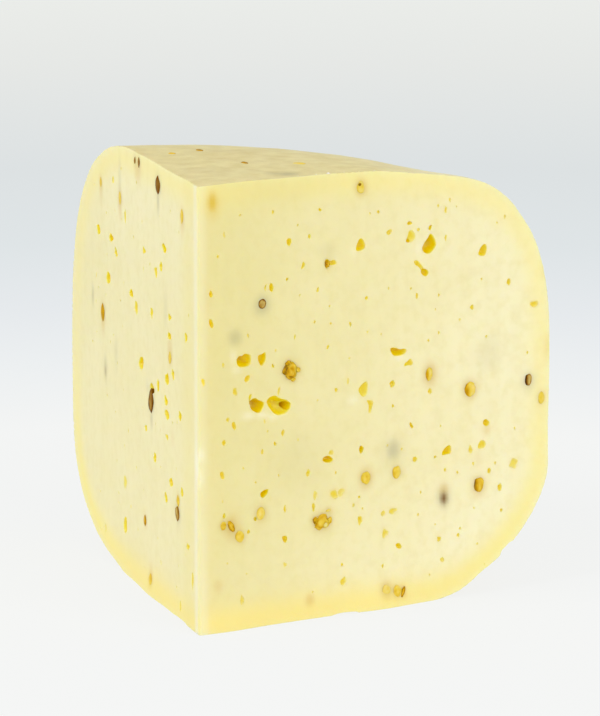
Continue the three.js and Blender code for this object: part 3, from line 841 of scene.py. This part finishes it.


# Golden seeds in the two cuts: along, height, wide, high, lean, how far out its equator lies, how
# far it rises above that, how brown its heart and its rim are, how much painted shade darkens its
# left side, and how crumpled it is. A crumpled one is a coat that split and folded up in its hollow.
goldenOn = {
    right: [
        (70.3, 47.5, 3.0, 3.6, 0, -0.1, 0.5, 0.14, 0.24, 0.42, 0.18),
        (72.8, 25.3, 2.8, 3.6, 0, -0.1, 0.5, 0.34, 0.42, 0.28, 0.18),
        (51, 30.8, 2.2, 2.8, 0, 0, 0.2, 0.2, 0.26, 0.1, 0.1),
        (43, 30.4, 2.4, 2.9, 0, 0, 0.12, 0.28, 0.28, 0.05, 0.15),
        (59.5, 52.2, 1.8, 3.0, 0, 0, 0.2, 0.2, 0.2, 0.28, 0.15),
        (89.5, 43.5, 1.7, 2.9, 0, 0, 0.15, 0.2, 0.22, 0.05, 0.1),
        (15.8, 25.6, 2.2, 2.9, 0, 0, 0.1, 0.12, 0.25, 0, 0.1),
        (10.4, 21.1, 2.2, 2.8, 0, 0, 0.2, 0.22, 0.25, 0.08, 0.15),
        (8.2, 23.7, 1.4, 2.8, 25, 0, 0.3, 0.42, 0.5, 0.05, 0.3),
        (6.3, 24, 1.5, 1.9, 0, 0, 0.15, 0.34, 0.34, 0, 0.1),
        (41.5, 96.1, 2.0, 2.8, 0, 0, 0.2, 0.15, 0.15, 0.1, 0.1),
        (41.2, 96.8, 0.8, 0.6, 20, 0.1, 0.15, 0.75, 0.65, 0, 0.1),
        (48.2, 4.0, 2.2, 2.9, 0, 0, 0.12, 0.14, 0.16, 0, 0.1),
        (51.0, 3.4, 2.2, 2.9, 0, 0, 0.25, 0.27, 0.27, 0, 0.2),
        (52.5, 3.2, 0.9, 2.6, -20, 0.1, 0.25, 0.55, 0.6, 0, 0.2),
        (31.5, 21.8, 4.1, 3.6, 0, -0.05, 0.45, 0.35, 0.42, 0.12, 0.36),
        # a pale bit set where the cluster shows a glint: a painted highlight
        (32.3, 21.1, 1.1, 1.2, 0, 0.2, 0.36, 0, 0.1, 0, 0.1),
        (23.3, 57, 3.5, 3.7, 0, -0.05, 0.4, 0.4, 0.46, 0.12, 0.6),
        (25.4, 56.9, 1.1, 1.2, 0, 0, 0.2, 0.3, 0.4, 0, 0.3),
        (24.1, 54.9, 1.3, 1.0, 0, 0, 0.2, 0.3, 0.4, 0, 0.3),
        (22.9, 58.6, 1.6, 1.4, 20, 0, 0.3, 0.5, 0.55, 0.1, 0.3),
        (33.5, 21.9, 1.2, 1.7, 0, 0, 0.25, 0.3, 0.4, 0, 0.3),
        (29.8, 22.4, 1.3, 1.6, 0, 0, 0.3, 0.5, 0.5, 0.1, 0.3),
        (33.2, 24.2, 1.4, 0.6, 15, 0, 0.15, 0.15, 0.25, 0, 0.2),
        (33.1, 79.6, 1.0, 1.8, 15, -0.3, 0.4, 0.5, 0.55, 0, 0.4),
    ],
    left: [
        (76.9, 57.6, 2.9, 4.2, 0, 0, 0.35, 0.55, 0.62, -0.25, 0.15),
        (21.7, 58, 2.2, 2.8, 0, 0, 0.2, 0.28, 0.3, 0.1, 0.1),
        (61.8, 87, 2.2, 3.2, 0, 0, 0.1, 0.22, 0.25, 0.05, 0.1),
        (12.1, 91.5, 2.1, 3.2, 0, 0, 0.2, 0.22, 0.28, 0.1, 0.1),
        (78, 87.8, 1.7, 2.4, 0, 0, 0.1, 0.25, 0.3, 0.1, 0.1),
        (42.6, 16.3, 1.7, 2.6, 0, 0, 0.3, 0.5, 0.6, 0.1, 0.1),
        (37.8, 3.6, 2.4, 3.0, 0, 0, 0.2, 0.26, 0.32, 0.1, 0.1),
        (15.9, 26.8, 2.0, 3.0, 0, -0.1, 0.3, 0.3, 0.36, 0, 0.1),
    ],
}
# Dark seeds.
darkOn = {
    right: [
        (16.2, 72.6, 1.9, 2.2, 0, 0, 0.25, 0.12, 0.62, 0.05, 0.2),
        (85.9, 48, 1.9, 2.8, 0, 0, 0.35, 0.12, 0.4, 0.5, 0.15),
    ],
    left: [
        (30.6, 95.2, 3.6, 4.1, 0, 0, 0.4, 0.5, 0.62, 0.16, 0.12),
        (36.8, 45.1, 3.8, 5.4, 0, 0, 0.5, 0.42, 0.72, 0.1, 0.28),
        (16.2, 24, 3.0, 3.5, 0, 0, 0.4, 0.24, 0.45, 0, 0.28),
        (45.9, 97.8, 1.4, 2.3, 0, 0, 0.2, 0.4, 0.5, 0, 0.2),
        (49.1, 97.7, 1.1, 1.7, -10, 0, 0.2, 0.35, 0.4, 0, 0.2),
    ],
}
# The paste round a seed takes its colour, this far past it and this strongly.
seedHalo = {"goldStain": (goldenOn, 0.5, 0.4), "greyStain": (darkOn, 0.7, 0.22)}


def cutEyes():
    # eyes that touch are cut one after the other, all others together
    strewn = strewnPinholes()
    eyes = [
        (right, *place, drawnEye, (corners, depth), eye["drawnReach"])
        for *place, depth, corners in drawnEyes
    ]
    for side in (right, left):
        for along, height, wide, high, depth in roundEyes[side] + strewn[side]:
            reach = max(wide, high) / 2 + eye["clearance"]
            eyes.append((side, along, height, roundEye, (wide, high, depth), reach))
    turns = []
    for number, (side, along, height, maker, shape, reach) in enumerate(eyes):
        fitting = None
        for turn in turns:
            gaps = [
                math.hypot(a - along, h - height) - r for s, a, h, r in turn["places"] if s == side
            ]
            if all(gap > reach for gap in gaps):
                fitting = turn
                break
        if fitting is None:
            fitting = {"places": [], "shape": bmesh.new()}
            turns.append(fitting)
        fitting["places"].append((side, along, height, reach))
        joinInto(fitting["shape"], maker(*shape, number), placeOnCut(side, along, height))
    for turn in turns:
        cutWith(body, helperObject(turn["shape"], "eyes"), "DIFFERENCE")
    print(len(eyes), "eyes cut in", len(turns), "turns,", len(body.data.polygons), "faces")


cutEyes()


# How deep an eye is where its colour is deepest.
deepestEye = 3


def zoneStainsAndHighlights(name):
    # the listed stains and painted highlights, and a halo round each seed
    places = list(stainsAndHighlights[name])
    lists, past, strength = seedHalo.get(name, ({}, 0, 0))
    for side, seeds in lists.items():
        for along, height, wide, high, *_ in seeds:
            places.append((side, along, height, wide / 2 + past, high / 2 + past, strength))
    return places


def storeZones(mesh):
    coordinates = coordinatesOf(mesh)
    axisX, axisY = wheel["axis"]
    fromAxis = np.hypot(coordinates[:, 0] - axisX, coordinates[:, 1] - axisY)
    names = (*cutZones, "palenessAndSheen", "eyeDepth", *stainsAndHighlights)
    zones = {name: np.zeros(len(coordinates)) for name in names}
    places = onCuts(coordinates)
    for side, (along, height, out) in places.items():
        # a place takes its zones from the nearer cut
        near = (np.abs(out) < 3.6) & (np.abs(out) <= np.abs(places[-side][2]))
        along, height, out = along[near], height[near], out[near]
        wave = np.array([cutWave(side, *place) for place in zip(along, height)])
        zones["eyeDepth"][near] = np.clip((wave - out) / deepestEye, 0, 1)

        outline = np.array(wheelOutline(0.0 if side == right else 1.0, 400)).T
        here = np.stack([fromAxis[near], height], axis=1)
        deep = np.sqrt(((here[:, None, :] - outline[None, :, :]) ** 2).sum(2).min(1)) - rindZone["deep"]
        width = np.where(deep > 0, rindZone["inwards"], rindZone["outwards"])
        strength = np.interp(height, (10, 50, 90), rindZone[side])
        here = {"behindRind": np.exp(-((deep / width) ** 2)) * strength}

        # the point edge is pale and dry on its left, with a yellower band behind it
        middle, stripWide, strength = (0.9, 1.4, 0.35) if side == right else (1.7, 1.3, 0.78)
        fading = np.array([1 + 0.8 * noise.noise((0, 0, up / 9)) for up in height])
        if side == right:
            fading *= np.interp(height, (5, 30), (1.5, 1))
        here["edgeStrip"] = np.exp(-(np.abs((along - middle) / stripWide) ** 3)) * strength * fading
        ring = (4.5, 3.0, 0.1) if side == right else (7.5, 5.0, 0.4)
        here["besideEdge"] = np.exp(-(((along - ring[0]) / ring[1]) ** 2)) * ring[2]
        # the facet is painted darker where it faces the lamps: painted shade
        here["facetShade"] = np.exp(-((along / 0.35) ** 2)) * 0.45
        # the foot is painted warm and bright, a painted glow of light from below, but not at the point
        # edge nor near the rim
        fromEnds = np.interp(along, (1, 5, 50, 66), (0.2, 1, 1, 0.5))
        here["paintedFootGlow"] = np.exp(-((height / 6) ** 2)) * 0.45 * fromEnds
        # the right cut is painted paler towards the rim, a painted sheen, and is paler near its foot;
        # the left one pales towards the top
        if side == right:
            here["palenessAndSheen"] = np.interp(along, (8, 85), (-0.2, 0.72))
            here["palenessAndSheen"] += np.interp(height, (10, 35), (0.12, 0))
        else:
            here["palenessAndSheen"] = np.interp(height, (20, 70, 90), (0.2, 0.2, 0.42))
        for name in stainsAndHighlights:
            here[name] = np.zeros(len(along))
            for stainSide, a, h, reachAlong, reachUp, strength in zoneStainsAndHighlights(name):
                if stainSide == side:
                    away = ((along - a) / reachAlong) ** 2 + ((height - h) / reachUp) ** 2
                    here[name] = np.maximum(here[name], np.exp(-(away**1.3)) * strength)
        for name, values in here.items():
            zones[name][near] = values
    # the skin has a painted highlight where it turns down to the rim beside the left cut, and is
    # smeared on the top
    fromLeft = places[left][2]
    turned = np.interp(fromAxis, (62, 90), (0, 1)) * np.interp(coordinates[:, 2], (70, 85), (0, 1))
    zones["shoulderLight"] = turned * np.exp(np.minimum(fromLeft, 0) / skin["lightReach"])
    turned = np.interp(fromAxis, (58, 74), (0, 0.8)) * np.interp(coordinates[:, 2], (70, 85), (0, 1))
    farther = turned * np.exp(np.minimum(places[right][2], 0) / skin["farLightReach"])
    zones["shoulderLight"] = np.maximum(zones["shoulderLight"], farther)
    zones["smear"] = np.zeros(len(coordinates))
    for back, toRight, reachAlong, reachBack, strength in skin["smears"]:
        alongSmear = (coordinates[:, 0] - pointX - toRight) / reachAlong
        away = alongSmear**2 + ((coordinates[:, 1] - pointY - back) / reachBack) ** 2
        onTop = coordinates[:, 2] > wheel["height"] - 3
        zones["smear"] = np.maximum(zones["smear"], np.exp(-away) * strength * onTop)
    for name, values in zones.items():
        storeOnPoints(mesh, name, values)


def storeMouths(mesh):
    # the paste at the mouth of an eye is thin, and yellow shines through it
    mouths = np.zeros(len(mesh.vertices))
    bm = bmesh.new()
    bm.from_mesh(mesh)
    for edge in bm.edges:
        slots = {face.material_index for face in edge.link_faces}
        if slots == {pasteSlot, eyeSlot}:
            for vert in edge.verts:
                mouths[vert.index] = 0.25
    bm.free()
    storeOnPoints(mesh, "mouthGlow", mouths)


storeZones(body.data)
storeMouths(body.data)
print("zones stored")

bm = bmesh.new()
bm.from_mesh(body.data)
bpy.data.objects.remove(body)
cheeseBody = finishPiece(bm, "cheeseBody", slotMaterials)
cheeseBody.data.shade_smooth()
cheeseBody.data.set_sharp_from_angle(angle=math.radians(40))
cheeseBody.data.calc_loop_triangles()
print("body of", len(cheeseBody.data.loop_triangles), "triangles")


def addSeed(bm, matrix, size, rise, pointed, tones, number):
    # a seed made about the origin, with its flatter outer side along Z, and put in its place
    heartTone, rimTone, leftPaintedShade, crumpled = tones
    tone = bm.verts.layers.float["tone"]
    fineness = 4 if crumpled > seed["manyFolds"] else 3
    made = bmesh.ops.create_icosphere(bm, subdivisions=fineness, radius=0.5)["verts"]
    wide, high = size
    deep = (wide + high) / 2
    for vert in made:
        place = Vector((number * 2.3, 0, 7)) + vert.co
        fromHeart = min(1.0, 2 * math.hypot(vert.co.x, vert.co.y))
        patch = noise.noise(place * 3) * (seed["patches"] + crumpled * 0.3)
        fold = 1 - 2 * abs(noise.noise(place * 3.5 + Vector((0, 9, 0))))
        vert[tone] = heartTone + (rimTone - heartTone) * fromHeart**4 + patch
        # painted shade darkens the left side, and a crumpled coat is painted darker in its folds and
        # paler on its ridges
        vert[tone] += leftPaintedShade * min(1.0, max(0.0, -3 * vert.co.x)) - crumpled * 0.3 * (fold - 0.5)
        lumps = noise.noise(place * 2.2) * (seed["uneven"] + crumpled * 0.5)
        vert.co *= 1 + lumps + (fold - 0.7) * crumpled * 0.5
        vert.co.x *= max(0.0, 1 - (2 * vert.co.y) ** 2) ** (pointed / 2)
        if vert.co.z > 0:
            vert.co.z *= 2 * rise / deep
    bmesh.ops.transform(bm, matrix=matrix @ Matrix.Diagonal((wide, high, deep, 1)), verts=made)


def addSeedsOnCuts(bm, lists):
    for side in (right, left):
        for number, (along, height, wide, high, lean, out, rise, *tones) in enumerate(lists[side]):
            turn = Matrix.Rotation(math.radians(lean), 4, "Z")
            place = placeOnCut(side, along, height, out)
            # a seed in the left cut was sliced along, so it is pointed at both ends
            addSeed(bm, place @ turn, (wide, high), rise, side == left, tones, number + 40 * side)


def addSeedsInSkin(bm, places):
    # each lies flat against the skin, found by a ray towards the wheel's axis or down onto the top
    for number, (start, towards, long, wide, turn, tones) in enumerate(places):
        hit, where, outwards, _ = cheeseBody.ray_cast(Vector(start) * millimetre, Vector(towards))
        if hit:
            facing = outwards.to_track_quat("Z", "Y").to_matrix().to_4x4()
            lean = Matrix.Rotation(math.radians(turn), 4, "Z")
            place = Matrix.Translation(where / millimetre) @ facing @ lean
            addSeed(bm, place, (long, wide), seed["underSkin"], False, tones, number)


def skinSeedPlaces():
    # four on the top, where the skin is thin, and others strewn over the rim
    places = []
    for back, toRight, long, wide, turn, shade in seed["onTop"]:
        start = (pointX + toRight, pointY + back, wheel["height"] + 20)
        places.append((start, (0, 0, -1), long, wide, turn, (shade, shade - 0.1, 0.1, 0.1)))
    draw = random.Random(seed["rimSeed"])
    for _ in range(seed["onRim"]):
        direction = math.pi / 2 + draw.uniform(-0.9, 0.9) * halfAngle
        level = Vector((math.cos(direction), math.sin(direction), 0))
        start = Vector((*wheel["axis"], draw.uniform(14, 92))) + level * wheel["radius"] * 1.3
        long = draw.uniform(1.2, 2.6)
        shade = draw.uniform(0.35, 0.8)
        tones = (shade, shade - 0.1, 0, 0.1)
        places.append((start, -level, long, long * draw.uniform(0.5, 0.8), draw.uniform(0, 180), tones))
    return places


# A mustard seed is straw yellow and smooth, an old or a soaked one amber to brown; pepper is dark
# and wrinkled. Where the knife opened one, its pale inside shows within a darker hull.
seed = {
    "patches": 0.16,
    "uneven": 0.12,
    "manyFolds": 0.3,
    "underSkin": 0.25,
    "onTop": [(44.8, -17.3, 1.3, 3.0, 20, 0.64), (32.2, -1.6, 1.1, 2.6, 20, 0.68),
              (38.3, -21.3, 1.3, 2.2, 20, 0.4), (36.0, 9.9, 1.9, 3.4, 10, 0.22)],
    "onRim": 26,
    "rimSeed": 5,
    "hullSize": 0.45,
}
goldenTones = [
    (0.0, "#F1DB84"), (0.25, "#ECCB48"), (0.5, "#D19E08"), (0.75, "#8A6418"), (1.0, "#4A2A08"),
]
darkTones = [
    (0.0, "#D6BE70"), (0.3, "#AE8636"), (0.55, "#7E500C"), (0.8, "#4A2C04"), (1.0, "#1C1002"),
]
# Curd that crumbled along the top edge of the right cut, the larger the paler: along, and how long.
crumbTones = [(0.0, "#FFFDF2"), (1.0, "#E9DEAE")]
crumbs = [(25.6, 0.4), (30.2, 0.5), (33.3, 0.8), (37.4, 0.35), (41.2, 0.35), (45.1, 0.45)]


def crumbPlaces():
    places = []
    for along, long in crumbs:
        start = placeOnCut(right, along, wheel["height"] + 20, -0.3).translation
        tone = 1.4 - 1.5 * long
        places.append((start, (0, 0, -1), long, long * 0.7, 30 * along, (tone, tone + 0.2, 0, 0.3)))
    return places


def makeSeedCoat(name, tones, roughness):
    material, tree = newMaterial(name)
    place = addNode(tree, "ShaderNodeTexCoord").outputs["Object"]
    settings = {"Scale": perSize(seed["hullSize"]), "Detail": 3.0}
    grain = addNode(tree, "ShaderNodeTexNoise", settings, {"Vector": place})
    bump = addNode(
        tree, "ShaderNodeBump", {"Strength": 0.6, "Distance": 0.0001}, {"Height": grain.outputs["Fac"]}
    )
    shader = addNode(
        tree,
        "ShaderNodeBsdfPrincipled",
        {
            "Roughness": roughness,
            "Specular IOR Level": 0.04,
            "Subsurface Weight": 0.3,
            "Subsurface Radius": (1.0, 0.7, 0.2),
            "Subsurface Scale": 0.0012,
        },
        {
            "Base Color": colourRamp(tree, pointValue(tree, "tone"), tones),
            "Normal": bump.outputs["Normal"],
        },
    )
    addNode(tree, "ShaderNodeOutputMaterial", {}, {"Surface": shader.outputs["BSDF"]})
    return material


mustardSeedCoat = makeSeedCoat("mustardSeedCoat", goldenTones, 0.4)
pepperSeedCoat = makeSeedCoat("pepperSeedCoat", darkTones, 0.5)
driedCurd = makeSeedCoat("driedCurd", crumbTones, 0.6)
for name, lists, inSkin, coat, slot in (
    ("goldenSeeds", goldenOn, skinSeedPlaces(), mustardSeedCoat, "golden_seed"),
    ("darkSeeds", darkOn, [], pepperSeedCoat, "dark_seed"),
    ("crumbs", {right: [], left: []}, crumbPlaces(), driedCurd, "cheese_paste"),
):
    bm = bmesh.new()
    bm.verts.layers.float.new("tone")
    addSeedsOnCuts(bm, lists)
    addSeedsInSkin(bm, inSkin)
    finishPiece(bm, name, [coat]).data.shade_smooth()
print("seeds made")


# An opal table lit from below: its glow by how far from the middle it is, in metres.
floorGlow = [
    (0.17, "#FCFDFC"), (0.24, "#F5F8F9"), (0.32, "#EDF1F4"), (0.42, "#E5EBED"), (0.55, "#E3E8E9"),
    (0.76, "#EEF0ED"), (0.91, "#F3F5F1"),
]


def makeFloor():
    bm = bmesh.new()
    bmesh.ops.create_circle(bm, cap_ends=True, radius=4, segments=96)
    mesh = bpy.data.meshes.new("floor")
    bm.to_mesh(mesh)
    bm.free()
    floor = bpy.data.objects.new("floor", mesh)
    bpy.context.scene.collection.objects.link(floor)
    material, tree = newMaterial("opalAcrylicTable")
    place = addNode(tree, "ShaderNodeTexCoord").outputs["Object"]
    reach = addNode(tree, "ShaderNodeVectorMath", {"operation": "LENGTH"}, {0: place})
    colour = colourRamp(tree, reach.outputs["Value"], floorGlow)
    shader = addNode(
        tree,
        "ShaderNodeBsdfPrincipled",
        {
            "Roughness": 0.9,
            "Specular IOR Level": 0.0,
            "Emission Strength": 0.83,
            "Base Color": (0.1, 0.1, 0.1, 1),
        },
        {"Emission Color": colour},
    )
    addNode(tree, "ShaderNodeOutputMaterial", {}, {"Surface": shader.outputs["BSDF"]})
    mesh.materials.append(material)


def addLamp(name, place, size, power, code="#FFFFFF"):
    lamp = bpy.data.lights.new(name, "AREA")
    lamp.shape = "DISK"
    lamp.size = size
    lamp.energy = power
    lamp.color = hexColour(code)[:3]
    holder = bpy.data.objects.new(name, lamp)
    holder.location = place
    holder.rotation_euler = (-Vector(place)).to_track_quat("-Z", "Y").to_euler()
    bpy.context.scene.collection.objects.link(holder)


makeFloor()
addLamp("keyLamp", (-0.9, -1.2, 1.3), 0.9, 14)
addLamp("fillLamp", (1.3, -0.6, 0.7), 1.2, 8)

world = bpy.data.worlds.new("studio")
world.use_nodes = True
world.node_tree.nodes["Background"].inputs[0].default_value = hexColour("#EEF1F3")
world.node_tree.nodes["Background"].inputs[1].default_value = 0.75
bpy.context.scene.world = world
bpy.context.scene.view_settings.view_transform = "Standard"

camera = bpy.data.objects.new("camera", bpy.data.cameras.new("camera"))
bpy.context.scene.collection.objects.link(camera)
camera.data.lens = 289.3
camera.data.sensor_width = 36
camera.data.clip_end = 10
camera.location = (0.4570, -1.1860, 0.3193)
aim = Vector((0.02461, -0.0417, 0.06232))
camera.rotation_euler = (aim - camera.location).to_track_quat("-Z", "Y").to_euler()
bpy.context.scene.camera = camera
